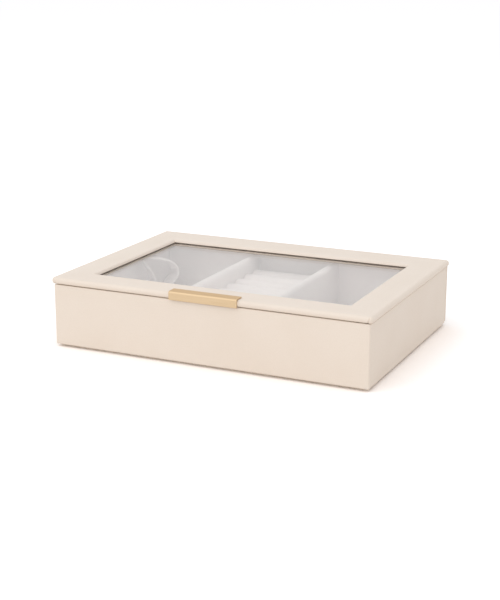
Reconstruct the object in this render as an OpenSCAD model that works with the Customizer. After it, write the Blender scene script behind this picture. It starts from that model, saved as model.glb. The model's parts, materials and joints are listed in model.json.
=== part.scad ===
// Ring display box: a low board box wrapped in leathercloth and lined in velvet,
// with a glazed lid on a cloth hinge, three compartments, a ring cushion and a bangle cuff.
// Millimetres. +Z is up, +X to the right, and the front faces -Y.
// The origin is on the surface the box stands on, under the middle of the box.

/* [Body] */
// Width of the wrapped body
body_w = 250.5; // [200:0.5:320]
// Depth of the wrapped body, without its back board
body_d = 177; // [160:1:240]
// Height of the wrapped body, without the pad under it
body_h = 46.4; // [45:0.1:70]
// Thickness of the two side walls
side_wall_t = 6; // [4:0.5:9]
// Thickness of the front and back walls
end_wall_t = 8; // [5:0.5:11]
// Thickness of the bottom board
base_board_t = 3; // [2:0.5:5]
// Thickness of the leathercloth skin
skin_t = 0.6; // [0.4:0.1:1]
// Radius of the body's upright corners
body_corner_r = 1; // [0.5:0.1:3]

/* [Underside pad] */
// Thickness of the pad the box stands on
foot_pad_t = 1.8; // [0.5:0.1:3]
// Distance from the body's edge to the pad's edge
foot_pad_inset = 4; // [1:0.5:12]

/* [Back board] */
// Thickness of the board behind the body
back_board_t = 1.5; // [1.2:0.1:4]
// Height of the back board's lower edge above the body's underside
back_board_lift = 1.4; // [0.5:0.1:5]

/* [Lining] */
// Thickness of the padded wall linings
lining_t = 2; // [1:0.1:4]
// Distance from the rim down to the top of the linings
lining_drop = 1; // [0.5:0.1:3]
// Thickness of the padded floor panels
floor_pad_t = 4.2; // [2:0.1:8]
// Gap around a piece that is dropped into place
drop_in_gap = 0.2; // [0.1:0.05:0.5]

/* [Dividers] */
// Thickness of a divider with its velvet
divider_t = 7; // [4:0.5:10]
// Distance between the middles of the two dividers
divider_spacing = 70; // [50:1:90]
// Distance from the rim down to the top of a divider
divider_drop = 3.3; // [1:0.1:8]

/* [Ring cushion] */
// Distance from one ring roll to the next, before whole rolls are spread to fill the tray
roll_pitch = 16.5; // [12:0.1:20]
// Gap beside each ring roll
roll_gap = 0.2; // [0.1:0.05:1]
// Height of a ring roll above its tray
roll_h = 23.5; // [18:0.5:32]
// Thickness of the tray under the rolls
tray_t = 1.2; // [0.8:0.1:3]
// Thickness of the tray's two end lips
tray_lip_t = 3.4; // [1.5:0.1:6]
// Height of the tray's two end lips
tray_lip_h = 13; // [6:0.5:20]

/* [Bangle cuff] */
// Gap between the top of the cuff and the lid
cuff_top_gap = 1.1; // [0.5:0.1:8]
// Width of the cuff's band
cuff_band_w = 12; // [8:0.5:12]
// Width that is left at the cuff's open ends
cuff_end_w = 5; // [3:0.5:7]
// Thickness of the cuff's band
cuff_band_t = 1.7; // [1.2:0.1:2.5]
// Distance from the left lining to the middle of the cuff's front edge
cuff_from_left = 19; // [18.5:0.5:40]
// Distance from the middle of the box back to that point
cuff_back = 36; // [-40:0.5:40]
// Angle of the cuff's front edge from the box's front
cuff_turn = 63; // [45:1:75]

/* [Lid] */
// Thickness of the lid, without the pull tab
lid_t = 4.9; // [4.9:0.1:9]
// Overhang of the lid at the sides
lid_side_overhang = 1.8; // [0.5:0.1:4]
// Overhang of the lid at the front
lid_front_overhang = 1.1; // [0.5:0.1:4]
// Thickness of the padded leathercloth round the lid's edge
lid_edge_pad_t = 1.2; // [0.8:0.1:2]
// Radius of the lid's rolled upper edge
lid_roll_r = 2.4; // [1:0.1:2.4]
// Radius of the lid's lower edge at the front and the sides
lid_lower_r = 2; // [0.4:0.1:2]
// Radius of the lid's lower edge over the hinge
lid_hinge_r = 0.6; // [0.4:0.1:1]
// Radius of the lid's upright corners
lid_corner_r = 3; // [0.5:0.1:4]
// Gap between the lid and the body's rim
seam_gap = 0.6; // [0.2:0.05:1]
// Thickness of the padded cover on top of the lid's frame
cover_t = 2.3; // [2:0.1:2.3]
// Thickness of the lining under the lid, and of the cloth turned in around it
lid_lining_t = 0.5; // [0.3:0.1:0.6]
// Width of the cloth turned in under the lid's edge
lid_turn_in = 5; // [4:0.5:6]
// Width of the frame's lip beside the window, which carries the glass
lid_lip_w = 3; // [3:0.5:6]

/* [Window] */
// Width of the window
window_w = 204.6; // [120:0.2:208]
// Distance from the body's front face to the window
window_front = 22.4; // [18:0.1:40]
// Distance from the body's back face to the window
window_rear = 27.8; // [20:0.1:45]
// Radius of the window's rolled upper edge
window_roll_r = 2; // [0.8:0.1:2]
// Thickness of the glass
glass_t = 1; // [1:0.1:1.1]
// Distance that the glass reaches under the cover
glass_lap = 2.5; // [2:0.1:6]
// Thickness of the dark strip between the glass and the cover
seal_t = 0.5; // [0.4:0.1:0.5]
// Distance from the window's edge to that strip
seal_setback = 0.4; // [0.2:0.1:1]

/* [Hinge] */
// Thickness of the leathercloth over the back, which is the hinge
hinge_cloth_t = 0.6; // [0.4:0.1:1]

/* [Pull tab] */
// Width of the pull tab
tab_w = 54; // [36:1:100]
// Thickness of the pull tab's plate
tab_t = 1; // [0.8:0.1:1.4]
// Reach of the pull tab below the lid's underside
tab_drop = 0.6; // [0:0.1:3]
// Reach of the pull tab's flange over the lid
tab_reach = 7.6; // [7:0.1:12]
// Outer radius of the pull tab's bend
tab_bend_r = 1.6; // [1.5:0.1:2.4]
// Diameter of the two posts under the flange
tab_post_d = 3.2; // [2.6:0.1:4]
// Distance from the tab's ends to its posts
tab_post_inset = 10; // [4:0.5:14]
// Distance from the lid's front face to the posts
tab_post_back = 4.6; // [4.4:0.1:5]
// Clearance around a post
tab_post_gap = 0.2; // [0.1:0.05:0.4]
// Diameter of the screws' shanks
screw_d = 1.6; // [1.2:0.1:2]
// Diameter of the screws' heads
screw_head_d = 5; // [4.6:0.1:5.6]
// Thickness of the screws' heads
screw_head_t = 0.8; // [0.6:0.1:1]
// Length of the screws' shanks
screw_len = 2.6; // [2:0.1:2.8]

/* [Hidden] */
over = 1;

// levels, from the ground up
body_z0 = foot_pad_t;
board_z0 = body_z0 + skin_t;
board_top = board_z0 + base_board_t;
body_top = body_z0 + body_h;
wall_top = body_top - skin_t;
lining_top = body_top - lining_drop;
floor_top = board_top + floor_pad_t;
divider_top = body_top - divider_drop;
tray_top = floor_top + tray_t;
lid_z0 = body_top + seam_gap;
lid_top = lid_z0 + lid_t;
cover_z0 = lid_top - cover_t;
glass_top = cover_z0 - seal_t;
glass_z0 = glass_top - glass_t;
frame_z0 = lid_z0 + lid_lining_t;

// faces, from the outside in
half_w = body_w / 2;
half_d = body_d / 2;
wall_x = half_w - skin_t;
wall_y = half_d - skin_t;
room_x = wall_x - side_wall_t;
room_y = wall_y - end_wall_t;
clear_x = room_x - lining_t;
clear_y = room_y - lining_t;
board_back = half_d + back_board_t;
mid_x = (divider_spacing - divider_t) / 2;
outer_x = (divider_spacing + divider_t) / 2;

// the lid's outline and its window
lid_x = half_w + lid_side_overhang;
lid_front = -half_d - lid_front_overhang;
lid_mid_y = (board_back + lid_front) / 2;
lid_half_d = (board_back - lid_front) / 2;
win_x = window_w / 2;
win_mid_y = (window_front - window_rear) / 2;
win_half_d = half_d - (window_front + window_rear) / 2;

// the ring cushion: whole rolls at about their pitch, spread to fill the tray between the lips
tray_y = clear_y - drop_in_gap;
tray_x = mid_x - drop_in_gap;
roll_room = 2 * (tray_y - tray_lip_t) - roll_gap;
roll_count = round(roll_room / roll_pitch);
roll_step = roll_room / roll_count;
roll_w = roll_step - roll_gap;

// the cuff's loop from end to end, along its front edge and up, where the loop is 37 high;
// it is stretched up to the lid, and narrows from cuff_taper_u to its ends
cuff_points = [[-20, 37], [-10.2, 34.4], [0, 31.5], [6.2, 29], [10.2, 25], [12.4, 20.4], [11.2, 15.4],
    [7, 11.6], [2, 6.5], [-0.6, 2], [-3.6, 0], [-6.6, 2], [-8.8, 9.6], [-11.2, 18.6], [-15.8, 26.4],
    [-22.6, 35.4]];
cuff_points_h = 37;
cuff_steps = 4;
cuff_taper_u = -5;
cuff_end_u = -20;
cuff_loop_h = lid_z0 - floor_top - cuff_band_t - cuff_top_gap;

cream = [0.90, 0.84, 0.76];
grey_velvet = [0.78, 0.76, 0.76];
raw_board = [0.72, 0.60, 0.45];
dark_strip = [0.16, 0.13, 0.11];
gold = [0.83, 0.66, 0.38];
steel = [0.70, 0.70, 0.72];

// a block between its lowest and its highest corner
module block(lo, hi) {
    translate(lo) cube(hi - lo);
}

// on the right or the back when side is 1, on the left or the front when it is -1
module flip_x(side) {
    mirror([side < 0 ? 1 : 0, 0, 0]) children();
}
module flip_y(side) {
    mirror([0, side < 0 ? 1 : 0, 0]) children();
}

// a flat plate's outline with round corners, centred
module rounded_plate(w, d, r) {
    square([w - 2 * r, d], center = true);
    square([w, d - 2 * r], center = true);
    for (sx = [-1, 1], sy = [-1, 1])
        translate([sx * (w / 2 - r), sy * (d / 2 - r)]) circle(r, $fn = 32);
}

// an upright outline carried along X, or along Y, from -half to half
module along_x(half) {
    translate([-half, 0, 0]) rotate([90, 0, 90]) linear_extrude(2 * half) children();
}
module along_y(half) {
    translate([0, half, 0]) rotate([90, 0, 0]) linear_extrude(2 * half) children();
}

// ---- the body ----
module underside_pad() {
    color(cream) linear_extrude(foot_pad_t)
        square([body_w - 2 * foot_pad_inset, body_d - 2 * foot_pad_inset], center = true);
}

module base_board() {
    color(raw_board) block([-wall_x, -wall_y, board_z0], [wall_x, wall_y, board_top]);
}

module end_wall(side) {
    color(raw_board) flip_y(side) block([-wall_x, room_y, board_top], [wall_x, wall_y, wall_top]);
}

module side_wall(side) {
    color(raw_board) flip_x(side) block([room_x, -room_y, board_top], [wall_x, room_y, wall_top]);
}

// the skin goes under the bottom board, up the walls and over their tops
module body_wrap() {
    color(cream) difference() {
        translate([0, 0, body_z0]) linear_extrude(body_h) rounded_plate(body_w, body_d, body_corner_r);
        block([-wall_x, -wall_y, board_z0], [wall_x, wall_y, wall_top]);
        block([-room_x, -room_y, board_top], [room_x, room_y, body_top + over]);
    }
}

module back_board() {
    color(cream) block([-half_w, half_d, body_z0 + back_board_lift], [half_w, board_back, body_top]);
}

// ---- the linings ----
module end_lining(side) {
    color(grey_velvet) flip_y(side) block([-room_x, clear_y, board_top], [room_x, room_y, lining_top]);
}

module side_lining(side) {
    color(grey_velvet) flip_x(side) block([clear_x, -clear_y, board_top], [room_x, clear_y, lining_top]);
}

// a floor panel dropped in between two faces of the compartment
module floor_pad(left, right) {
    color(grey_velvet) block([left + drop_in_gap, drop_in_gap - clear_y, board_top],
        [right - drop_in_gap, clear_y - drop_in_gap, floor_top]);
}

// a padded board from lining to lining, with a half-round top
module divider(side) {
    r = divider_t / 2;
    color(grey_velvet) translate([side * divider_spacing / 2, 0, 0]) along_y(clear_y) {
        translate([-r, board_top]) square([divider_t, divider_top - r - board_top]);
        translate([0, divider_top - r]) circle(r, $fn = 48);
    }
}

// ---- the ring cushion ----
module ring_tray() {
    color(grey_velvet) {
        block([-tray_x, -tray_y, floor_top], [tray_x, tray_y, tray_top]);
        for (side = [-1, 1]) flip_y(side)
            block([-tray_x, tray_y - tray_lip_t, floor_top], [tray_x, tray_y, floor_top + tray_lip_h]);
    }
}

// a foam roll with upright sides and a half-round top; the first one is at the front
module ring_roll(i) {
    r = roll_w / 2;
    color(grey_velvet) translate([0, (i - (roll_count + 1) / 2) * roll_step, tray_top]) along_x(tray_x) {
        translate([-r, 0]) square([roll_w, roll_h - r]);
        translate([0, roll_h - r]) circle(r, $fn = 64);
    }
}

// ---- the bangle cuff ----
// the smooth curve through four neighbouring points, at t from the second to the third
function smooth_point(a, b, c, d, t) =
    (2 * b + (c - a) * t + (2 * a - 5 * b + 4 * c - d) * t * t + (3 * b - a - 3 * c + d) * t * t * t) / 2;
function smooth_line(p, last) = [for (i = [0:last - 1], s = [0:cuff_steps - 1])
    smooth_point(p[max(i - 1, 0)], p[i], p[i + 1], p[min(i + 2, last)], s / cuff_steps), p[last]];
// the point beside the line's point i, half a band's thickness to its left
function beside(line, i, half) =
    let (last = len(line) - 1, run = line[min(i + 1, last)] - line[max(i - 1, 0)])
    line[i] + half * [-run[1], run[0]] / norm(run);

module cuff_outline() {
    stretched = [for (p = cuff_points) [p[0], p[1] * cuff_loop_h / cuff_points_h]];
    line = smooth_line(stretched, len(stretched) - 1);
    last = len(line) - 1;
    half = cuff_band_t / 2;
    translate([0, half]) polygon(concat([for (i = [0:last]) beside(line, i, half)],
        [for (i = [last:-1:0]) beside(line, i, -half)]));
}

// the band seen from above: full width at its bend, narrower towards its open ends
module cuff_plan() {
    reach = 30;
    polygon([[-reach, 0], [-reach, cuff_end_w], [cuff_end_u, cuff_end_w], [cuff_taper_u, cuff_band_w],
        [reach, cuff_band_w], [reach, 0]]);
}

module bangle_cuff() {
    color(grey_velvet) translate([cuff_from_left - clear_x, cuff_back, floor_top]) rotate([0, 0, cuff_turn])
        intersection() {
            translate([0, cuff_band_w / 2, 0]) along_y(cuff_band_w / 2) cuff_outline();
            linear_extrude(lid_z0 - floor_top) cuff_plan();
        }
}

// ---- the hinge: one cloth over the back board and the lid's back, which folds at the seam ----
module hinge_cover() {
    color(cream) block([-half_w, board_back, body_z0 + back_board_lift],
        [half_w, board_back + hinge_cloth_t, body_top]);
}

module hinge_flap() {
    color(cream) block([-half_w, board_back, lid_z0],
        [half_w, board_back + hinge_cloth_t, lid_top - lid_roll_r]);
}

// ---- the lid ----
// an upright outline with rolled upper corners; its lower right corner has its own radius
module rolled_outline(half, right_lower_r) {
    for (side = [-1, 1]) {
        r = side < 0 ? lid_lower_r : right_lower_r;
        flip_x(side) {
            translate([0, lid_z0]) square([half - lid_roll_r, lid_t]);
            translate([0, lid_z0]) square([half - r, r]);
            translate([0, lid_z0 + r]) square([half, lid_t - r - lid_roll_r]);
            translate([half - lid_roll_r, lid_top - lid_roll_r]) circle(lid_roll_r, $fn = 48);
            translate([half - r, lid_z0 + r]) circle(r, $fn = 48);
        }
    }
}

module lid_form() {
    intersection() {
        translate([0, lid_mid_y, 0]) along_x(lid_x) rolled_outline(lid_half_d, lid_hinge_r);
        translate([0, lid_mid_y, 0]) along_y(lid_half_d) rolled_outline(lid_x, lid_lower_r);
        translate([0, lid_mid_y, lid_z0 - over]) linear_extrude(lid_t + 2 * over)
            rounded_plate(2 * lid_x, 2 * lid_half_d, lid_corner_r);
    }
}

// the upright outline of the window's hole, which opens out over its rolled edge
module flared_outline(half) {
    flared = half + window_roll_r;
    difference() {
        translate([-flared, lid_z0 - over]) square([2 * flared, lid_t + 2 * over]);
        for (side = [-1, 1]) {
            translate([side * flared, lid_top - window_roll_r]) circle(window_roll_r, $fn = 32);
            translate([side * (half + window_roll_r / 2), lid_z0 + (lid_t - window_roll_r - over) / 2])
                square([window_roll_r, lid_t - window_roll_r + over], center = true);
        }
    }
}

module window_hole() {
    intersection() {
        translate([0, win_mid_y, 0]) along_x(win_x + over) flared_outline(win_half_d);
        translate([0, win_mid_y, 0]) along_y(win_half_d + over) flared_outline(win_x);
    }
}

// the lid's rectangle, drawn in by inset, between two levels
module lid_block(z0, z1, inset) {
    block([inset - lid_x, lid_front + inset, z0], [lid_x - inset, board_back - inset, z1]);
}

// the window's rectangle, drawn out by grow, between two levels
module window_block(z0, z1, grow) {
    block([-win_x - grow, win_mid_y - win_half_d - grow, z0],
        [win_x + grow, win_mid_y + win_half_d + grow, z1]);
}

module at_tab_posts() {
    for (side = [-1, 1])
        translate([side * (tab_w / 2 - tab_post_inset), lid_front + tab_post_back, 0]) children();
}

// a post's hole from a level up through the lid's top
module post_hole(z0) {
    translate([0, 0, z0]) cylinder(d = tab_post_d + 2 * tab_post_gap, h = lid_top + over - z0, $fn = 32);
}

// the frame has a lip round the window, under the glass and level with the lining
module lid_frame() {
    color(cream) difference() {
        union() {
            lid_block(frame_z0, cover_z0, lid_edge_pad_t);
            window_block(lid_z0, frame_z0 + over, lid_lip_w);
        }
        window_block(lid_z0 - over, cover_z0 + over, 0);
        window_block(glass_z0, cover_z0 + over, glass_lap + drop_in_gap);
        at_tab_posts() {
            post_hole(frame_z0 - over);
            translate([0, 0, frame_z0 - over])
                cylinder(d = screw_head_d + 2 * tab_post_gap, h = over + screw_head_t, $fn = 32);
        }
    }
}

// the cloth goes over the frame and its edge, and is turned in underneath as far as the lining
module lid_wrap() {
    color(cream) difference() {
        lid_form();
        lid_block(frame_z0, cover_z0, lid_edge_pad_t);
        lid_block(lid_z0 - over, cover_z0, lid_turn_in);
        window_hole();
        at_tab_posts() post_hole(frame_z0);
    }
}

// the lining lies between the turned-in cloth and the frame's lip
module lid_lining() {
    color(grey_velvet) difference() {
        lid_block(lid_z0, frame_z0, lid_turn_in);
        window_block(lid_z0 - over, frame_z0 + over, lid_lip_w);
    }
}

module glass_pane() {
    color([0.85, 0.92, 0.92, 0.3]) window_block(glass_z0, glass_top, glass_lap);
}

module glass_seal() {
    color(dark_strip) difference() {
        window_block(glass_top, cover_z0, glass_lap);
        window_block(glass_top - over, cover_z0 + over, seal_setback);
    }
}

// ---- the pull tab: a plate bent over the lid's front edge, on two posts ----
module tab_outline() {
    leg_h = lid_t + tab_t;
    translate([0, -tab_drop]) square([tab_t, tab_drop + leg_h - tab_bend_r]);
    translate([tab_bend_r, lid_t]) square([tab_t + tab_reach - tab_bend_r, tab_t]);
    translate([tab_bend_r, leg_h - tab_bend_r]) intersection() {
        difference() {
            circle(tab_bend_r, $fn = 48);
            circle(tab_bend_r - tab_t, $fn = 48);
        }
        translate([-tab_bend_r, 0]) square(tab_bend_r);
    }
}

module pull_tab() {
    post_z0 = frame_z0 + screw_head_t;
    color(gold) {
        translate([0, lid_front - tab_t, lid_z0]) along_x(tab_w / 2) tab_outline();
        at_tab_posts() difference() {
            translate([0, 0, post_z0]) cylinder(d = tab_post_d, h = lid_top + tab_t / 2 - post_z0, $fn = 32);
            translate([0, 0, post_z0 - over]) cylinder(d = screw_d, h = over + screw_len, $fn = 24);
        }
    }
}

// screws from below, whose heads lie in the frame behind the lid's lining
module tab_screws() {
    color(steel) at_tab_posts() translate([0, 0, frame_z0]) {
        cylinder(d = screw_head_d, h = screw_head_t, $fn = 32);
        cylinder(d = screw_d, h = screw_head_t + screw_len, $fn = 24);
    }
}

underside_pad();
base_board();
end_wall(-1);  // front_wall
end_wall(1);  // back_wall
side_wall(-1);  // left_wall
side_wall(1);  // right_wall
body_wrap();
back_board();
end_lining(-1);  // front_lining
end_lining(1);  // back_lining
side_lining(-1);  // left_lining
side_lining(1);  // right_lining
floor_pad(-clear_x, -outer_x);  // left_floor_pad
floor_pad(-mid_x, mid_x);  // middle_floor_pad
floor_pad(outer_x, clear_x);  // right_floor_pad
divider(-1);  // left_divider
divider(1);  // right_divider
ring_tray();
for (i = [1:roll_count])
    ring_roll(i);
bangle_cuff();
hinge_cover();
hinge_flap();
lid_frame();
lid_wrap();
lid_lining();
glass_pane();
glass_seal();
pull_tab();
tab_screws();
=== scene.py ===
# Ring display box: the leathercloth, velvet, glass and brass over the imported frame.
import json
import math

import bpy
import numpy as np
from mathutils import Matrix, Vector


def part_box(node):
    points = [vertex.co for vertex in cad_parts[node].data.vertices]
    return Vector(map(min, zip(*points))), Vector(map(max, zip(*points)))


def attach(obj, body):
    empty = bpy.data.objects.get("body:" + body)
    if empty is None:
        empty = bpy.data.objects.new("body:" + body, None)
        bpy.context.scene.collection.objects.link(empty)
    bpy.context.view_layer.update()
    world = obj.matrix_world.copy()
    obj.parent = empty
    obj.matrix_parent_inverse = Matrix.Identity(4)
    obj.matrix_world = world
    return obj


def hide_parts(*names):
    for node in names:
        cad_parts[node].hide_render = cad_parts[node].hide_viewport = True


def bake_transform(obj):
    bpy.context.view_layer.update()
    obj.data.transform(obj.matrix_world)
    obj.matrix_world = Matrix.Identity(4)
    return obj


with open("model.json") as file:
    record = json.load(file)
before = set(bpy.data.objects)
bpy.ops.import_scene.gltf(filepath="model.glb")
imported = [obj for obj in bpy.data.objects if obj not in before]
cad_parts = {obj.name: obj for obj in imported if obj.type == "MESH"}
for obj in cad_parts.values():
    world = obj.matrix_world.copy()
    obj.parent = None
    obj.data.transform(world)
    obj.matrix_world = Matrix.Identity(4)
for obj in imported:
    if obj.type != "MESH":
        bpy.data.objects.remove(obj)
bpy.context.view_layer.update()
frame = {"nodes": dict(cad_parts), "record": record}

MM = 0.001


def node_box(name):
    """The lowest and the highest corner of a frame node, in millimetres."""
    lo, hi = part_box(name)
    return np.array(lo) / MM, np.array(hi) / MM


# ---- lengths, in millimetres ----
skin_t = 0.6
(_, _, body_z0), (body_half_w, body_half_d, body_top) = node_box("body_wrap")
board_z0 = node_box("base_board")[0][2]
wall_top = node_box("front_wall")[1][2]
rim_w, rim_d = 6.6, 8.6
body_corner_r, body_edge_r, body_foot_r = 1.2, 0.9, 1.1
turn_in_w = 20.0

lining_edge_r, lining_crown = 0.7, 0.25
pad_edge_r, pad_crown = 1.1, 0.35
divider_foot_r = divider_end_r = 0.5
roll_foot_r, roll_end_r, roll_swell = 1.0, 1.0, 0.1
roll_count = sum(name.startswith("ring_roll_") for name in frame["nodes"])
tray_lip_t, tray_lip_r, tray_end_r = 3.4, 1.5, 0.4

(_, lid_front, lid_z0), (lid_half_w, lid_back, lid_top) = node_box("lid_wrap")
frame_z0, cover_z0 = node_box("lid_lining")[1][2], node_box("lid_frame")[1][2]
glass_lap, glass_play = 2.5, 0.2
(_, win_front, glass_z0), (win_half_w, win_back, _) = node_box("glass_pane")
win_front, win_half_w, win_back = win_front + glass_lap, win_half_w - glass_lap, win_back - glass_lap
lid_roll_r, lid_lower_r, lid_corner_r, lid_pad_t = 2.4, 2.0, 3.0, 1.2
window_roll_r, lip_w = 2.0, 3.0
lining_play = 0.1
turn_under_w = node_box("lid_lining")[0][1] - lid_front

hinge_cloth_t, hinge_cloth_r = 0.6, 0.28
seam_sink, seam_sink_w = 0.22, 0.5
hinge_y, hinge_z = (v / MM for v in frame["record"]["behaviour"]["joints"][0]["pos_m"][1:])
hinge_z0, hinge_z1 = node_box("hinge_cover")[0][2], node_box("hinge_flap")[1][2]

(_, tab_front, tab_z0), (tab_half_w, tab_back, tab_top) = node_box("pull_tab")
tab_t, tab_bend_r, tab_edge_r = 1.0, 1.6, 0.28
tab_post_x, tab_post_y, tab_post_r = tab_half_w - 10.0, lid_front + 4.6, 1.6
tab_post_z0, tab_post_end_r = frame_z0 + 0.8, 0.2

cuff_points = np.array([
    [-20, 37], [-10.2, 34.4], [0, 31.5], [6.2, 29], [10.2, 25], [12.4, 20.4], [11.2, 15.4],
    [7, 11.6], [2, 6.5], [-0.6, 2], [-3.6, 0], [-6.6, 2], [-8.8, 9.6], [-11.2, 18.6],
    [-15.8, 26.4], [-22.6, 35.4]])
cuff_place = (node_box("left_lining")[1][0] + 19.0, 36.0)
cuff_turn = math.radians(63)
cuff_t, cuff_w, cuff_end_w, cuff_edge_r = 1.7, 12.0, 5.0, 0.7
cuff_taper = (-20.0, -5.0)


# ---- shapes ----
def grid_faces(rows, cols, round_rows, round_cols):
    """Quads between neighbouring points of a grid, which may close on itself in either direction."""
    r, c = np.meshgrid(np.arange(rows if round_rows else rows - 1),
                       np.arange(cols if round_cols else cols - 1), indexing="ij")
    below, beside = (r + 1) % rows, (c + 1) % cols
    return np.stack([r * cols + c, r * cols + beside, below * cols + beside, below * cols + c],
                    axis=-1).reshape(-1, 4)


def rounded_section(corners, steps=7, guard=0.25):
    """A closed section through corners (across, up, radius, share). Each corner becomes an arc
    that touches its two sides: its points turn evenly from one tangent point to the other about
    the arc's centre. A guard point stands before and after each arc, so the sides shade flat.
    Returns across, up and share for each point."""
    points = []
    for i, (a, z, r, share) in enumerate(corners):
        here = np.array([a, z])
        before = np.array(corners[i - 1][:2]) - here
        after = np.array(corners[(i + 1) % len(corners)][:2]) - here
        reach = min(np.linalg.norm(before), np.linalg.norm(after))
        u, v = before / np.linalg.norm(before), after / np.linalg.norm(after)
        if r == 0:
            points.append([a, z, share])
            continue
        half = math.acos(np.clip(u @ v, -1, 1)) / 2
        touch = r / math.tan(half)
        centre = here + (u + v) / np.linalg.norm(u + v) * r / math.sin(half)
        start, end = here + u * touch - centre, here + v * touch - centre
        turn = math.pi - 2 * half
        k = np.linspace(0, 1, steps + 1)[:, None]
        arc = centre + (np.sin((1 - k) * turn) * start + np.sin(k * turn) * end) / math.sin(turn)
        g = touch + min(guard, 0.3 * max(reach - touch, 0.01))
        rows = np.vstack([here + u * g, arc, here + v * g])
        points.extend([[p[0], p[1], share] for p in rows])
    return np.array(points)


def rectangle_rings(x0, x1, y0, y1, r, z, near=(0.3, 0.7, 1.1, 1.5, 2.1, 3.0, 5.0, 10.0),
                    middle=7, steps_round=7):
    """Rings of points round rectangles with round corners, one for each entry of the six arrays.
    A corner is a quarter circle of radius r; each side has points at the distances near from
    both of its ends and evenly spread ones between. Returns an array rings x points x 3."""
    x0, x1, y0, y1, r, z = (np.broadcast_to(v, np.shape(z)).astype(float)[:, None]
                            for v in (x0, x1, y0, y1, r, z))
    near = np.array(near)
    turn = np.linspace(0, math.pi / 2, steps_round + 1)
    part = np.linspace(0, 1, middle + 2)[None, 1:-1]
    ends = near[-1]
    rows = []
    corners = [(x1 - r, y0 + r, -0.5), (x1 - r, y1 - r, 0.0), (x0 + r, y1 - r, 0.5), (x0 + r, y0 + r, 1.0)]
    for i, (cx, cy, start) in enumerate(corners):
        angle = start * math.pi + turn[None, :]
        rows.append(np.stack([cx + r * np.cos(angle), cy + r * np.sin(angle)], axis=-1))
        nx, ny, after = corners[(i + 1) % 4]
        go = np.array([math.cos(after * math.pi), math.sin(after * math.pi)])
        a = np.stack([cx + r * go[0], cy + r * go[1]], axis=-1)
        b = np.stack([nx + r * go[0], ny + r * go[1]], axis=-1)
        length = np.linalg.norm(b - a, axis=-1, keepdims=True)
        far = np.concatenate([np.broadcast_to(near, (len(z), len(near))),
                              ends + part * (length[:, :, 0] - 2 * ends),
                              length[:, :, 0] - near[None, ::-1]], axis=1)
        rows.append(a + (b - a) * (far / length[:, :, 0])[:, :, None])
    ring = np.concatenate(rows, axis=1)
    up = np.broadcast_to(z[:, :, None], ring.shape[:2] + (1,))
    return np.concatenate([ring, up], axis=2)


def frame_shell(section, x0, x1, y0, y1, corner_r, shifts=(0, 0, 0, 0), inner_r=0.5, **spacing):
    """A section carried round a rectangle, closed both ways. A section point lies as far inside
    the rectangle as its first number says, plus its share times that side's shift, where the
    shifts are for the left, right, front and back sides."""
    a, z, share = section.T
    r = (1 - share) * np.maximum(corner_r - a, 0.25) + share * inner_r
    points = rectangle_rings(x0 + a + share * shifts[0], x1 - a - share * shifts[1],
                             y0 + a + share * shifts[2], y1 - a - share * shifts[3], r, z, **spacing)
    rows, cols = points.shape[:2]
    return points, grid_faces(rows, cols, True, True)


def face_normals(points):
    """The direction out of a grid that is closed both ways, as frame_shell makes it: the cross
    product of the two differences between each point's neighbours."""
    down = np.roll(points, -1, 0) - np.roll(points, 1, 0)
    along = np.roll(points, -1, 1) - np.roll(points, 1, 1)
    normal = np.cross(along, down)
    return normal / np.maximum(np.linalg.norm(normal, axis=-1, keepdims=True), 1e-9)


def edge_lines(half, r, cells, steps=4, guard=0.4):
    """Places of grid lines from -half to half: a rounded edge's lines stand at r times the
    tangent of even angles, then a guard line, then even cells between."""
    bend = half - r + r * np.tan(np.linspace(math.pi / 4, 0, steps + 1))
    inner = np.linspace(0, half - r - min(guard, 0.3 * (half - r)), cells // 2 + 1)
    right = np.concatenate([inner, bend[::-1]])
    return np.concatenate([-right[:0:-1], right])


def rounded_block(lo, hi, r, cells=(8, 8, 4), steps=4):
    """A block with round edges: every point of the six face grids is split into the nearest point
    of the block drawn in by r and an arrow from there, and the arrow is set to length r.
    Returns the points, their places from -1 to 1 along each axis, and the faces."""
    lo, hi = np.array(lo, float), np.array(hi, float)
    centre, half = (lo + hi) / 2, (hi - lo) / 2
    lines = [edge_lines(half[i], r, cells[i], steps) for i in range(3)]
    points, faces, count = [], [], 0
    for axis in range(3):
        u, v = (axis + 1) % 3, (axis + 2) % 3
        for side in (-1, 1):
            a, b = np.meshgrid(lines[u], lines[v], indexing="ij")
            grid = np.zeros(a.shape + (3,))
            grid[..., axis], grid[..., u], grid[..., v] = side * half[axis], a, b
            quads = grid_faces(*a.shape, False, False)
            faces.append((quads if side < 0 else quads[:, ::-1]) + count)
            points.append(grid.reshape(-1, 3))
            count += a.size
    points = np.concatenate(points)
    _, first, back = np.unique(np.round(points, 5), axis=0, return_index=True, return_inverse=True)
    points, faces = points[first], back.reshape(-1)[np.concatenate(faces)]
    core = np.clip(points, -(half - r), half - r)
    arrow = points - core
    out = core + arrow / np.linalg.norm(arrow, axis=1, keepdims=True) * r
    return out + centre, points / half, faces


def loft(rings):
    """A closed form through rings of points, with a middle point that closes each end."""
    count, size = rings.shape[:2]
    middle = [rings[0].mean(0), rings[-1].mean(0)]
    points = np.concatenate([rings.reshape(-1, 3), middle])
    i = np.arange(size)
    beside = (i + 1) % size
    last = (count - 1) * size
    caps = [np.stack([beside, i, np.full(size, count * size)], axis=1),
            np.stack([i + last, beside + last, np.full(size, count * size + 1)], axis=1)]
    return points, [grid_faces(count, size, False, True), *caps]


def outline_out(outline):
    """The direction out of each point of a closed outline that runs anticlockwise."""
    run = np.roll(outline, -1, 0) - np.roll(outline, 1, 0)
    run /= np.linalg.norm(run, axis=1, keepdims=True)
    return np.stack([run[:, 1], -run[:, 0]], axis=1)


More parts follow.
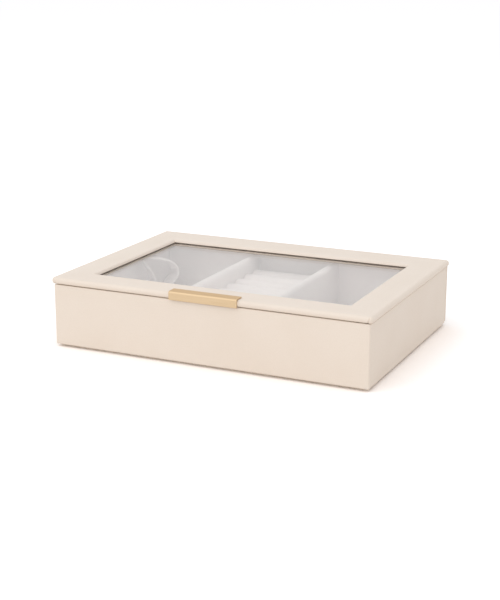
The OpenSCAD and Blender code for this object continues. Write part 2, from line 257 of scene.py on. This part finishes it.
def carry(outline, at, r, steps=5):
    """An outline carried along from at[0] to at[-1], with both ends rounded to radius r: near an
    end the outline is drawn in by r(1 - cos t) while it moves by r(1 - sin t).
    Returns for each ring its place and its outline."""
    t = np.linspace(math.pi / 2, 0, steps + 1)
    inset, move = r * (1 - np.cos(t)), r * (1 - np.sin(t))
    out = outline_out(outline)
    place = np.concatenate([at[0] + move, [at[0] + r + 0.3], at[1:-1], [at[-1] - r - 0.3],
                            at[-1] - move[::-1]])
    drawn = np.concatenate([inset, np.zeros(len(at)), inset[::-1]])
    return place, outline[None] - drawn[:, None, None] * out[None]


def rounded_ends(line, r, steps=5):
    """Rings for a band that follows a flat line, across and up, and rounds off at both ends to
    radius r: near an end a ring stands r(1 - sin t) inside it, and its section is drawn in by
    r(1 - cos t). Returns for each ring its place, the direction square to the line, how far the
    section is drawn in, and the number of the line's point that it belongs to."""
    run = np.gradient(line, axis=0)
    run /= np.linalg.norm(run, axis=1, keepdims=True)
    at = np.clip(np.arange(-steps, len(line) + steps), 0, len(line) - 1)
    t = np.linspace(math.pi / 2, 0, steps + 1)
    inset, move, between_ends = r * (1 - np.cos(t)), r * (1 - np.sin(t)), np.zeros(len(line) - 2)
    drawn = np.concatenate([inset, between_ends, inset[::-1]])
    place = line[at] + run[at] * np.concatenate([move, between_ends, -move[::-1]])[:, None]
    side = np.stack([-run[:, 1], run[:, 0]], axis=1)[at]
    return place, side, drawn, at


def smooth_line(p, steps):
    """The smooth cubic curve through points, which leaves each one along the line between its
    two neighbours."""
    q = np.vstack([p[:1], p, p[-1:]])
    t = np.linspace(0, 1, steps, endpoint=False)[None, :, None]
    a, b, c, d = (q[i:len(q) - 3 + i][:, None] for i in range(4))
    curve = (2 * b + (c - a) * t + (2 * a - 5 * b + 4 * c - d) * t ** 2
             + (3 * b - a - 3 * c + d) * t ** 3) / 2
    return np.vstack([curve.reshape(-1, 2), p[-1:]])


def add_mesh(name, points, faces):
    """A mesh object from points in millimetres and arrays of faces, turned so that it encloses a
    positive volume: the sum of each triangle's triple product."""
    faces = faces if isinstance(faces, list) else [faces]
    volume = 0.0
    for f in faces:
        a = points[f[:, 0]]
        for k in range(1, f.shape[1] - 1):
            volume += np.einsum("ij,ij->", a, np.cross(points[f[:, k]], points[f[:, k + 1]]))
    if volume < 0:
        faces = [f[:, ::-1] for f in faces]
    mesh = bpy.data.meshes.new(name)
    mesh.from_pydata((points * MM).tolist(), [], [row for f in faces for row in f.tolist()])
    mesh.polygons.foreach_set("use_smooth", np.ones(len(mesh.polygons), dtype=bool))
    mesh.update()
    piece = bpy.data.objects.new(name, mesh)
    bpy.context.scene.collection.objects.link(piece)
    return piece


def put(name, points, faces, finish, body, replaces=()):
    """Makes a piece of one finish that rides on a body and stands for frame nodes."""
    piece = add_mesh(name, points, faces)
    piece.data.materials.append(finishes[finish])
    if body:
        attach(piece, body)
    if replaces:
        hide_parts(*([replaces] if isinstance(replaces, str) else replaces))
    return piece


# ---- finishes ----
GLASS_INDEX = 1.5


def srgb(r, g, b):
    """The linear colour of an 8-bit screen colour."""
    c = np.array([r, g, b]) / 255
    return (*np.where(c <= 0.04045, c / 12.92, ((c + 0.055) / 1.055) ** 2.4), 1.0)


def node(tree, kind, links=(), settings=(), **values):
    """Adds a shader node: links are (socket, source), settings are its own properties."""
    n = tree.nodes.new("ShaderNode" + kind)
    for key, value in dict(settings).items():
        setattr(n, key, value)
    for key, value in values.items():
        n.inputs[key.replace("_", " ")].default_value = value
    for socket, source in links:
        tree.links.new(source, n.inputs[socket])
    return n


def blank(name):
    """An empty node material with its output."""
    material = bpy.data.materials.new(name)
    material.use_nodes = True
    tree = material.node_tree
    tree.nodes.clear()
    return material, tree, tree.nodes.new("ShaderNodeOutputMaterial")


def noise(tree, place, size, detail=2.0, stretch=(1, 1, 1), **values):
    """Smooth noise whose lumps are about size millimetres across, longer where stretch is over 1."""
    scale = node(tree, "Mapping", [("Vector", place)], Scale=[1 / (size * MM * s) for s in stretch])
    return node(tree, "TexNoise", [("Vector", scale.outputs[0])], Scale=1.0, Detail=detail,
                **values).outputs[0]


def spread(tree, source, low, high, from_low=0.3, from_high=0.7):
    """The source's middle range spread between low and high."""
    n = node(tree, "MapRange", [("Value", source)])
    for i, value in enumerate((from_low, from_high, low, high)):
        n.inputs[i + 1].default_value = value
    return n.outputs[0]


def between(tree, share, one, other):
    """The colour between two colours at share."""
    n = node(tree, "Mix", [(0, share)], {"data_type": "RGBA"})
    for i, c in ((6, one), (7, other)):
        if isinstance(c, tuple):
            n.inputs[i].default_value = c
        else:
            tree.links.new(c, n.inputs[i])
    return n.outputs[2]


def bump(tree, height, depth, under=None, strength=1.0):
    """A bump of depth millimetres from height, on top of the bump under it."""
    links = [("Height", height)] + ([("Normal", under)] if under else [])
    return node(tree, "Bump", links, Strength=strength, Distance=depth * MM).outputs[0]


def make_leathercloth():
    """Smooth coated cloth: a very fine pebbled grain over faint broad waves, satin."""
    material, tree, out = blank("leathercloth")
    place = node(tree, "TexCoord").outputs["Object"]
    broad = noise(tree, place, 34, 2.0)
    fine = noise(tree, place, 1.1, 3.0)
    waver = node(tree, "TexNoise", [("Vector", place)], Scale=900.0).outputs["Color"]
    bent = node(tree, "VectorMath", [(0, place), (2, waver)], {"operation": "MULTIPLY_ADD"})
    bent.inputs[1].default_value = (2600, 2600, 2600)
    pebble = node(tree, "TexVoronoi", [("Vector", bent.outputs[0])], {"feature": "SMOOTH_F1"},
                  Scale=0.62).outputs["Distance"]
    tone = between(tree, spread(tree, broad, 0, 1), srgb(239, 227, 215), srgb(236, 223, 210))
    tone = between(tree, spread(tree, pebble, 0, 0.35, 0.1, 0.7), tone, srgb(229, 215, 201))
    shape = bump(tree, broad, 0.35, strength=0.35)
    shape = bump(tree, fine, 0.03, shape, 0.5)
    shape = bump(tree, pebble, 0.035, shape, 0.45)
    shader = node(tree, "BsdfPrincipled", [
        ("Base Color", tone), ("Roughness", spread(tree, fine, 0.44, 0.56)), ("Normal", shape)],
        Specular_IOR_Level=0.38)
    tree.links.new(shader.outputs[0], out.inputs[0])
    return material


def make_velvet():
    """Short velvet pile: fine tufts, with broad soft patches where the pile lies another way."""
    material, tree, out = blank("velvet")
    place = node(tree, "TexCoord").outputs["Object"]
    nap = noise(tree, place, 13, 3.0, Distortion=0.6)
    tuft = noise(tree, place, 0.42, 2.0)
    tone = between(tree, spread(tree, nap, 0, 1), srgb(242, 236, 234), srgb(236, 229, 228))
    tone = between(tree, spread(tree, tuft, 0, 0.4), tone, srgb(226, 218, 217))
    shape = bump(tree, nap, 0.25, strength=0.4)
    shape = bump(tree, tuft, 0.12, shape, 0.6)
    shader = node(tree, "BsdfPrincipled", [("Base Color", tone), ("Normal", shape)], Roughness=0.96,
                  Sheen_Weight=0.25, Sheen_Roughness=0.45, Specular_IOR_Level=0.2)
    tree.links.new(shader.outputs[0], out.inputs[0])
    return material


def make_brass():
    """Brass brushed along its width, with a clear satin finish."""
    material, tree, out = blank("brass")
    place = node(tree, "TexCoord").outputs["Object"]
    line = noise(tree, place, 0.16, 4.0, (160, 1, 1))
    cloud = noise(tree, place, 9, 2.0)
    tone = between(tree, spread(tree, line, 0, 0.7), srgb(214, 190, 156), srgb(198, 171, 135))
    tone = between(tree, spread(tree, cloud, 0, 0.25), tone, srgb(205, 180, 146))
    shader = node(tree, "BsdfPrincipled", [
        ("Base Color", tone), ("Roughness", spread(tree, line, 0.36, 0.48)),
        ("Normal", bump(tree, line, 0.02, strength=0.35))], Metallic=1.0,
        Specular_Tint=(1, 0.86, 0.72, 1))
    tree.links.new(shader.outputs[0], out.inputs[0])
    return material


def make_steel():
    """Plain bright steel with fine turning marks."""
    material, tree, out = blank("steel")
    place = node(tree, "TexCoord").outputs["Object"]
    mark = noise(tree, place, 0.2, 3.0, (1, 1, 6))
    tone = between(tree, spread(tree, mark, 0, 1), srgb(205, 206, 208), srgb(184, 186, 190))
    shader = node(tree, "BsdfPrincipled", [
        ("Base Color", tone), ("Roughness", spread(tree, mark, 0.28, 0.42)),
        ("Normal", bump(tree, mark, 0.02, strength=0.3))], Metallic=1.0)
    tree.links.new(shader.outputs[0], out.inputs[0])
    return material


def make_fibreboard():
    """Raw pressed board: short matted fibres in two browns."""
    material, tree, out = blank("fibreboard")
    place = node(tree, "TexCoord").outputs["Object"]
    fibre = noise(tree, place, 0.7, 4.0, (3, 2, 1), Distortion=1.2)
    patch = noise(tree, place, 8, 2.0)
    tone = between(tree, spread(tree, fibre, 0, 1), srgb(198, 172, 138), srgb(168, 138, 104))
    tone = between(tree, spread(tree, patch, 0, 0.4), tone, srgb(186, 156, 120))
    shader = node(tree, "BsdfPrincipled", [
        ("Base Color", tone), ("Roughness", spread(tree, fibre, 0.8, 0.95)),
        ("Normal", bump(tree, fibre, 0.08, strength=0.6))])
    tree.links.new(shader.outputs[0], out.inputs[0])
    return material


def make_painted_shade_strip():
    """Matt dark brown for the thin seal round the glass: painted shade, standing for the shadowed gap
    where the glass enters the frame; faintly ribbed along its length.
    """
    material, tree, out = blank("dark_strip")
    place = node(tree, "TexCoord").outputs["Object"]
    rib = noise(tree, place, 0.4, 2.0)
    # painted shade: dark browns that stand for the shadowed gap under the window's edge
    tone = between(tree, spread(tree, rib, 0, 1), srgb(112, 90, 72), srgb(92, 73, 58))
    shader = node(tree, "BsdfPrincipled", [
        ("Base Color", tone), ("Roughness", spread(tree, rib, 0.6, 0.75)),
        ("Normal", bump(tree, rib, 0.04, strength=0.4))])
    tree.links.new(shader.outputs[0], out.inputs[0])
    return material


def make_glass():
    """Clear glass: it mirrors by its angle and lets the rest straight through, with a
    little unevenness in its surface."""
    material, tree, out = blank("glass")
    place = node(tree, "TexCoord").outputs["Object"]
    wave = noise(tree, place, 60, 1.0)
    shape = bump(tree, wave, 0.05, strength=0.2)
    tint = between(tree, spread(tree, wave, 0, 1), srgb(254, 253, 252), srgb(252, 252, 251))
    clear = node(tree, "BsdfTransparent", [("Color", tint)])
    mirror = node(tree, "BsdfGlossy", [("Normal", shape)], Color=(1, 1, 1, 1), Roughness=0.02)
    inside = node(tree, "NewGeometry").outputs["Backfacing"]
    index = spread(tree, inside, GLASS_INDEX, 1 / GLASS_INDEX, 0, 1)
    share = node(tree, "Fresnel", [("IOR", index)])
    mix = node(tree, "MixShader", [(0, share.outputs[0]), (1, clear.outputs[0]), (2, mirror.outputs[0])])
    tree.links.new(mix.outputs[0], out.inputs[0])
    return material


finishes = {
    "leathercloth": make_leathercloth(), "velvet": make_velvet(), "brass": make_brass(),
    "steel": make_steel(), "fibreboard": make_fibreboard(), "dark_strip": make_painted_shade_strip(),
    "glass": make_glass()}


def repaint(name, finish):
    """Gives a frame node that stays in sight its finish."""
    piece = frame["nodes"][name]
    if not piece.material_slots:
        piece.data.materials.append(finishes[finish])
    for s in piece.material_slots:
        s.material = finishes[finish]


for board in ("base_board", "front_wall", "back_wall", "left_wall", "right_wall"):
    repaint(board, "fibreboard")
# The glass seal's dark brown is painted shade for the shadowed gap round the glass.
repaint("glass_seal", "dark_strip")
repaint("tab_screws", "steel")


# ---- the body ----
def body_cloth():
    """The body's leathercloth: one section with round edges carried round the body, over the rim
    and a turn-in under the bottom board."""
    section = rounded_section([
        (0, body_z0, body_foot_r, 0), (0, body_top, body_edge_r, 0), (rim_w, body_top, 0.45, 1),
        (rim_w, wall_top, 0, 1), (skin_t, wall_top, 0, 0), (skin_t, board_z0, 0, 0),
        (turn_in_w, board_z0, 0.15, 0), (turn_in_w, body_z0, 0.25, 0)])
    extra = rim_d - rim_w
    points, faces = frame_shell(section, -body_half_w, body_half_w, -body_half_d, body_half_d,
                                body_corner_r, (0, 0, extra, extra), 0.4)
    put("body_leathercloth", points.reshape(-1, 3), faces, "leathercloth", "base", "body_wrap")


body_cloth()

lo, hi = node_box("underside_pad")
points, _, faces = rounded_block(lo, hi, 0.35, (12, 10, 2))
put("foot_pad", points, faces, "leathercloth", "base", "underside_pad")

lo, hi = node_box("back_board")
points, _, faces = rounded_block(lo + [0.05, 0.05, 0], hi - [0.05, 0, 0.05], 0.6, (16, 2, 8))
put("back_panel", points, faces, "leathercloth", "base", "back_board")


# ---- the linings, the floor pads and the dividers ----
def padded_panel(name, r, cells, crown_axis, crown, side=1.0):
    """A padded board: a block with round edges, whose face towards the room swells by crown
    times (1 - u^4)(1 - v^4) over its edges, with u and v from -1 to 1 across the face."""
    lo, hi = node_box(name)
    u, v = [i for i in range(3) if i != crown_axis]
    if side > 0:
        hi[crown_axis] -= crown
    else:
        lo[crown_axis] += crown
    points, spot, faces = rounded_block(lo, hi, r, cells)
    swell = crown * (1 - spot[:, u] ** 4) * (1 - spot[:, v] ** 4)
    points[:, crown_axis] += side * swell * np.clip(side * spot[:, crown_axis], 0, 1)
    piece = put(name + "_velvet", points, faces, "velvet", "base", name)


for name, axis, side in (("front_lining", 1, 1), ("back_lining", 1, -1), ("left_lining", 0, 1),
                         ("right_lining", 0, -1)):
    padded_panel(name, lining_edge_r, (24, 24, 12), axis, lining_crown, side)
for name in ("left_floor_pad", "middle_floor_pad", "right_floor_pad"):
    padded_panel(name, pad_edge_r, (20, 24, 4), 2, pad_crown)


def round_topped(width, z0, z1, foot_r):
    """An upright outline, across and up, from its foot anticlockwise: a quarter circle at each
    foot corner and a half circle over the top."""
    r = width / 2
    foot = np.linspace(0, math.pi / 2, 5)
    over = np.linspace(0, math.pi, 25)
    side = np.array([z0 + foot_r + 0.5, (z0 + z1 - r) / 2, z1 - r - 0.5])
    return np.concatenate([
        np.stack([r - foot_r + foot_r * np.sin(foot), z0 + foot_r - foot_r * np.cos(foot)], axis=1),
        np.stack([np.full(3, r), side], axis=1),
        np.stack([r * np.cos(over), z1 - r + r * np.sin(over)], axis=1),
        np.stack([np.full(3, -r), side[::-1]], axis=1),
        np.stack([-r + foot_r - foot_r * np.cos(foot), z0 + foot_r - foot_r * np.sin(foot)], axis=1)])


def divider(name):
    """A divider: its upright outline with a half-round top, carried from lining to lining."""
    lo, hi = node_box(name)
    outline = round_topped(hi[0] - lo[0], lo[2], hi[2], divider_foot_r)
    place, rings = carry(outline, np.linspace(lo[1], hi[1], 25), divider_end_r)
    middle = (lo[0] + hi[0]) / 2
    points = np.stack([middle + rings[..., 0], np.broadcast_to(place[:, None], rings.shape[:2]),
                       rings[..., 1]], axis=-1)
    points, faces = loft(points)
    piece = put(name + "_velvet", points, faces, "velvet", "base", name)


divider("left_divider")
divider("right_divider")


# ---- the ring cushion ----
def ring_roll(i):
    """A foam roll in velvet: its half-round-topped outline carried across the tray, with both
    ends rounded. It is wider than its node by roll_swell, and still clear of its neighbours."""
    lo, hi = node_box("ring_roll_%d" % i)
    outline = round_topped(hi[1] - lo[1] + roll_swell, lo[2], hi[2], roll_foot_r)
    place, rings = carry(outline, np.linspace(lo[0], hi[0], 17), roll_end_r)
    middle = (lo[1] + hi[1]) / 2
    points = np.stack([np.broadcast_to(place[:, None], rings.shape[:2]), middle + rings[..., 0],
                       rings[..., 1]], axis=-1)
    points, faces = loft(points)
    piece = put("ring_roll_%d_velvet" % i, points, faces, "velvet", "base", "ring_roll_%d" % i)


for i in range(1, roll_count + 1):
    ring_roll(i)


def ring_tray():
    """The ring cushion's tray: a flat outline with two upright lips, carried across it."""
    lo, hi = node_box("ring_tray")
    floor = node_box("ring_roll_1")[0][2]
    front_lip, back_lip = lo[1] + tray_lip_t, hi[1] - tray_lip_t
    section = rounded_section([
        (lo[1], lo[2], 0.5, 0), (hi[1], lo[2], 0.5, 0), (hi[1], hi[2], tray_lip_r, 0),
        (back_lip, hi[2], tray_lip_r, 0), (back_lip, floor, 0.2, 0), (front_lip, floor, 0.2, 0),
        (front_lip, hi[2], tray_lip_r, 0), (lo[1], hi[2], tray_lip_r, 0)])[:, :2]
    place, rings = carry(section, np.linspace(lo[0], hi[0], 5), tray_end_r)
    points = np.stack([np.broadcast_to(place[:, None], rings.shape[:2]), rings[..., 0], rings[..., 1]],
                      axis=-1)
    count, size = points.shape[:2]
    faces = [grid_faces(count, size, False, True)]
    mesh_points = points.reshape(-1, 3)
    ends = [np.arange(size)[None, ::-1], (np.arange(size) + (count - 1) * size)[None]]
    put("ring_tray_velvet", mesh_points, faces + ends, "velvet", "base", "ring_tray")


ring_tray()


# ---- the bangle cuff ----
def bangle_cuff():
    """The cuff: a band's rounded section carried along its looped middle line. Across the
    section go the band's thickness, square to the line, and its width, level; the width
    narrows evenly towards the open ends."""
    middle = smooth_line(cuff_points, 8) + [0, cuff_t / 2]
    line, side, drawn, at = rounded_ends(middle, cuff_edge_r)
    width = np.interp(middle[:, 0], cuff_taper, (cuff_end_w, cuff_w))[at]
    turn = np.linspace(0, 2 * math.pi, 32, endpoint=False)
    corner = np.sign(np.cos(turn)), np.sign(np.sin(turn))
    thick = cuff_t / 2 - drawn
    fillet = np.minimum(cuff_edge_r, thick - 0.02)[:, None]
    across = corner[0] * (thick[:, None] - fillet) + fillet * np.cos(turn)
    half_w = (width / 2 - drawn)[:, None]
    level = corner[1] * (half_w - fillet) + fillet * np.sin(turn) + width[:, None] / 2
    u = line[:, :1] + side[:, :1] * across
    z = line[:, 1:] + side[:, 1:] * across
    cos, sin = math.cos(cuff_turn), math.sin(cuff_turn)
    floor = node_box("left_floor_pad")[1][2]
    points = np.stack([cuff_place[0] + u * cos - level * sin, cuff_place[1] + u * sin + level * cos,
                       floor + z], axis=-1)
    points, faces = loft(points)
    put("bangle_cuff_velvet", points, faces, "velvet", "base", "bangle_cuff")


bangle_cuff()


# ---- the lid ----
# A lid section has its window's edge at WINDOW, and each side shifts it to its own distance.
WINDOW = 24.0
window_shifts = [edge - WINDOW for edge in (
    lid_half_w - win_half_w, lid_half_w - win_half_w, win_front - lid_front, lid_back - win_back)]
pleat_at, pleat_slant, pleat_w, pleat_depth = 0.35, 0.4, 0.38, 0.62
pleat_lift, pleat_rise_at, pleat_rise_w, pleat_run, pleat_fade_h = 0.16, 0.35, 0.08, 3.0, 1.3


def corner_folds(points, outer):
    """Pleats at the lid's corners, in the section's first rows. For each column, s is the way
    round the corner from the point where the front or the back face ends. A groove in the shape
    of a bell curve crosses s at a slant, and the cloth beyond it lies proud and fades out."""
    wide = points[np.argmin(points[:, 0, 1])]
    side = lid_half_w - np.abs(wide[:, 0])
    end = np.minimum(wide[:, 1] - lid_front, lid_back - wide[:, 1])
    r = lid_corner_r
    s = r * np.arctan2(np.clip(r - side, 0, r), np.clip(r - end, 1e-6, r))
    s += np.clip(end - r, 0, None) - np.clip(side - r, 0, None)
    s = s[None] - pleat_slant * (points[:outer, :, 2] - (lid_z0 + lid_top) / 2) - pleat_at
    groove = np.exp(-(s / pleat_w) ** 2)
    proud = np.exp(-np.clip(s, 0, None) / pleat_run) / (1 + np.exp(-(s - pleat_rise_at) / pleat_rise_w))
    fade = np.clip((lid_top - points[:outer, :, 2]) / pleat_fade_h, 0, 1)
    lift = (pleat_lift * proud - pleat_depth * groove) * fade
    points[:outer] += face_normals(points)[:outer] * lift[..., None]
    return points


def lid_cloth():
    """The lid's leathercloth: one section carried round the lid. It is turned in underneath, goes
    up the padded edge and over the top, and ends over the window's rolled edge."""
    steps = 11
    section = rounded_section([
        (0, lid_z0, lid_lower_r, 0), (0, lid_top, lid_roll_r, 0), (WINDOW, lid_top, window_roll_r, 1),
        (WINDOW, cover_z0, 0.1, 1), (lid_pad_t, cover_z0, 0, 0), (lid_pad_t, frame_z0, 0, 0),
        (turn_under_w, frame_z0, 0, 0), (turn_under_w, lid_z0, 0.2, 0)], steps=steps, guard=0.08)
    points, faces = frame_shell(section, -lid_half_w, lid_half_w, lid_front, lid_back, lid_corner_r,
                                window_shifts, 0.35, steps_round=20,
                                near=(0.25, 0.5, 0.75, 1.0, 1.3, 1.8, 2.6, 4.0, 6.5, 10.0))
    points = corner_folds(points, 2 * (steps + 3))
    put("lid_leathercloth", points.reshape(-1, 3), faces, "leathercloth", "lid", "lid_wrap")


lid_cloth()


def lid_lip():
    """The lid's wrapped frame: a section with a rebate for the glass and a rounded lip under it,
    carried round the lid."""
    rebate = glass_lap + glass_play
    section = rounded_section([
        (lid_pad_t, frame_z0, 0.2, 0), (WINDOW - lip_w, frame_z0, 0, 1),
        (WINDOW - lip_w, lid_z0, 0.2, 1), (WINDOW, lid_z0, 0.35, 1), (WINDOW, glass_z0, 0.15, 1),
        (WINDOW - rebate, glass_z0, 0, 1), (WINDOW - rebate, cover_z0, 0, 1),
        (lid_pad_t, cover_z0, 0.2, 0)], steps=5)
    points, faces = frame_shell(section, -lid_half_w, lid_half_w, lid_front, lid_back, lid_corner_r,
                                window_shifts, 0.35)
    put("lid_frame_lip", points.reshape(-1, 3), faces, "leathercloth", "lid", "lid_frame")


lid_lip()


def lid_underside():
    """The panel under the lid: a thin section with round edges, between the turned-in
    leathercloth and the frame's lip."""
    inset, edge = turn_under_w + lining_play, WINDOW - lip_w - lining_play
    section = rounded_section([
        (inset, lid_z0, 0.2, 0), (edge, lid_z0, 0.2, 1), (edge, frame_z0, 0.1, 1),
        (inset, frame_z0, 0.1, 0)], steps=4)
    points, faces = frame_shell(section, -lid_half_w, lid_half_w, lid_front, lid_back, lid_corner_r,
                                window_shifts, 0.5)
    put("lid_underside_velvet", points.reshape(-1, 3), faces, "velvet", "lid", "lid_lining")


lid_underside()

lo, hi = node_box("glass_pane")
points, _, faces = rounded_block(lo, hi, 0.2, (12, 8, 2))
put("window_glass", points, faces, "glass", "lid", "glass_pane")


# ---- the hinge cloth ----
def hinge_cloth():
    """One cloth over the back board and the lid's back: a sheet with round edges that sinks a
    little into the seam, by a bell curve of the height over the seam."""
    points, spot, faces = rounded_block(
        [-body_half_w, hinge_y - hinge_cloth_t, hinge_z0], [body_half_w, hinge_y, hinge_z1],
        hinge_cloth_r, (24, 2, 110))
    sink = seam_sink * np.exp(-((points[:, 2] - hinge_z) / seam_sink_w) ** 2)
    points[:, 1] -= sink * (spot[:, 1] > 0)
    piece = put("hinge_cloth", points, faces, "leathercloth", None, ("hinge_cover", "hinge_flap"))
    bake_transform(piece)


hinge_cloth()


# ---- the pull tab ----
def pull_tab():
    """The pull tab: a plate's rounded section carried up the lid's front, round a bend and back
    over the lid; its two ends are rounded as the section's sides are. Two posts stand under it."""
    mid = tab_t / 2
    y_leg = lid_front - mid
    z_flange = lid_top + mid
    bend = tab_bend_r - mid
    t = np.linspace(0, math.pi / 2, 9)
    arc = np.stack([y_leg + bend - bend * np.cos(t), z_flange - bend + bend * np.sin(t)], axis=1)
    up = np.stack([np.full(7, y_leg), np.linspace(tab_z0, z_flange - bend - 0.2, 7)], axis=1)
    back = np.stack([np.linspace(y_leg + bend + 0.2, tab_back, 7), np.full(7, z_flange)], axis=1)
    line, side, drawn, _ = rounded_ends(np.vstack([up, arc, back]), tab_edge_r)
    section = rounded_section([
        (-tab_half_w, -mid, tab_edge_r, 0), (tab_half_w, -mid, tab_edge_r, 0),
        (tab_half_w, mid, tab_edge_r, 0), (-tab_half_w, mid, tab_edge_r, 0)], steps=5)[:, :2]
    out = outline_out(section)
    rings = section[None] - drawn[:, None, None] * out[None]
    points = np.stack([rings[..., 0], line[:, None, 0] + side[:, None, 0] * rings[..., 1],
                       line[:, None, 1] + side[:, None, 1] * rings[..., 1]], axis=-1)
    points, faces = loft(points)
    angle = np.linspace(0, 2 * math.pi, 24, endpoint=False)
    circle = tab_post_r * np.stack([np.cos(angle), np.sin(angle)], axis=1)
    place, post = carry(circle, np.array([tab_post_z0, cover_z0, lid_top + mid]), tab_post_end_r)
    for x in (-tab_post_x, tab_post_x):
        stem = np.stack([x + post[..., 0], tab_post_y + post[..., 1],
                         np.broadcast_to(place[:, None], post.shape[:2])], axis=-1)
        stem, stem_faces = loft(stem)
        faces = faces + [f + len(points) for f in stem_faces]
        points = np.vstack([points, stem])
    put("pull_tab_brass", points, faces, "brass", "lid", "pull_tab")


pull_tab()


# ---- the floor, the lamp and the camera ----
# The world's strength and the paper's colours: as they light the box, and as they are seen. Near the box
# the seen paper is painted darker and warmer: painted shadow.
world_lit, world_seen = 0.80, 1.0
paper_lit = (0.89, 0.85, 0.81, 1), (0.88, 0.84, 0.80, 1)
paper_painted_shadow, paper_open = (1.15, 1.08, 1.035, 1), (1.24, 1.235, 1.25, 1)
shadow_reach = 45.0
floor_half = 9000.0
lamp_size, lamp_power = 2800.0, 17.6
lamp_place, lamp_aim = (-400.0, -1500.0, 1600.0), (0, 0, 30.0)
camera_angles = 24.949, 15.501, 0.032
camera_place = (399.739, -869.433, 293.859)
sensor_h, lens, farthest = 36, 77.194, 50


def larger(tree, one, other):
    """The larger of two values."""
    return node(tree, "Math", [(0, one), (1, other)], {"operation": "MAXIMUM"}).outputs[0]


def is_seen(tree):
    """1 for rays from the camera, off a mirror or through glass, and 0 for the rest."""
    path = node(tree, "LightPath").outputs
    seen = larger(tree, path["Is Camera Ray"], path["Is Glossy Ray"])
    return larger(tree, seen, path["Is Transmission Ray"])


def studio():
    """A pale floor that keeps the box's shadow, with painted shadow on top: the seen paper is painted
    darker and warmer where the box is near. An even pale world and one large soft lamp.
    """
    world = bpy.data.worlds.new("studio")
    bpy.context.scene.world = world
    world.use_nodes = True
    tree = world.node_tree
    tree.nodes.clear()
    strength = spread(tree, is_seen(tree), world_lit, world_seen, 0, 1)
    back = node(tree, "Background", [("Strength", strength)], Color=(1, 1, 1, 1))
    tree.links.new(back.outputs[0], tree.nodes.new("ShaderNodeOutputWorld").inputs[0])

    material, tree, out = blank("floor_paper")
    place = node(tree, "TexCoord").outputs["Object"]
    lit = between(tree, spread(tree, noise(tree, place, 400, 2.0), 0, 1), *paper_lit)
    seen = is_seen(tree)
    # Painted shadow: where the occlusion finds the box near, the seen paper turns to the darker, warmer
    # colour.
    open_sky = node(tree, "AmbientOcclusion", Distance=shadow_reach * MM).outputs["AO"]
    shade = between(tree, spread(tree, open_sky, 0, 1, 0.4, 0.95), paper_painted_shadow, paper_open)
    tone = between(tree, seen, lit, shade)
    matt = node(tree, "BsdfDiffuse", [("Color", tone)])
    tree.links.new(matt.outputs[0], out.inputs[0])
    corners = floor_half * np.array([[-1, -1, 0], [1, -1, 0], [1, 1, 0], [-1, 1, 0]])
    floor = add_mesh("floor", corners, np.array([[0, 1, 2, 3]]))
    floor.data.materials.append(material)

    lamp = bpy.data.lights.new("soft_lamp", "AREA")
    lamp.shape = "SQUARE"
    lamp.size = lamp_size * MM
    lamp.energy = lamp_power
    lamp_at = Vector(lamp_place) * MM
    turned = (Vector(lamp_aim) * MM - lamp_at).to_track_quat("-Z", "Y").to_matrix().to_4x4()
    holder = bpy.data.objects.new("soft_lamp", lamp)
    holder.matrix_world = Matrix.Translation(lamp_at) @ turned
    bpy.context.scene.collection.objects.link(holder)


def camera():
    """The camera, from its azimuth, elevation, roll, place and lens."""
    azimuth, elevation, roll = (math.radians(v) for v in camera_angles)
    back = Vector((math.sin(azimuth) * math.cos(elevation), -math.cos(azimuth) * math.cos(elevation),
                   math.sin(elevation)))
    level = Vector((math.cos(azimuth), math.sin(azimuth), 0))
    up = back.cross(level)
    right = level * math.cos(roll) + up * math.sin(roll)
    top = up * math.cos(roll) - level * math.sin(roll)
    data = bpy.data.cameras.new("camera")
    data.sensor_fit = "VERTICAL"
    data.sensor_height = sensor_h
    data.lens = lens
    data.clip_end = farthest
    holder = bpy.data.objects.new("camera", data)
    turned = Matrix((right, top, back)).transposed().to_4x4()
    holder.matrix_world = Matrix.Translation(Vector(camera_place) * MM) @ turned
    bpy.context.scene.collection.objects.link(holder)
    bpy.context.scene.camera = holder


studio()
camera()
bpy.context.scene.view_settings.view_transform = "Standard"
